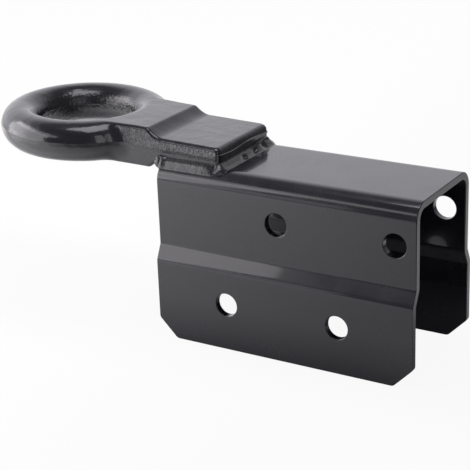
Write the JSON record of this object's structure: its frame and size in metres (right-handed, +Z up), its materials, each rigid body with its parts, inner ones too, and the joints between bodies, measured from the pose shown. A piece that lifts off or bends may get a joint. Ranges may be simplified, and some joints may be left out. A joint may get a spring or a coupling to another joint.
{
  "type": "lunette eye tow bracket",
  "caption": "Forged lunette eye on a stepped flat tail, welded on top of a bent plate channel with joggled side walls and cross bolt holes, for coupling a trailer tongue to a pintle.",
  "frame": {"origin": "below the middle of the whole length, on the middle plane, level with the channel's lower edges", "axes": "+X from the eye towards the channel's open rear end, +Y across the channel, +Z up, from the channel's lower edges to its top plate"},
  "size_m": [0.3144, 0.1142, 0.1373],
  "materials": {
    "forging_paint": "glossy black paint over a hammered steel forging",
    "plate_paint": "glossy black paint over smooth steel plate",
    "weld_paint": "glossy black paint over weld beads"
  },
  "bodies": {
    "root": {"lunette_eye": "forging_paint", "channel_bracket": "plate_paint", "side_weld_left": "weld_paint", "side_weld_right": "weld_paint", "rear_weld": "weld_paint", "front_weld": "weld_paint"}
  },
  "joints": []
}
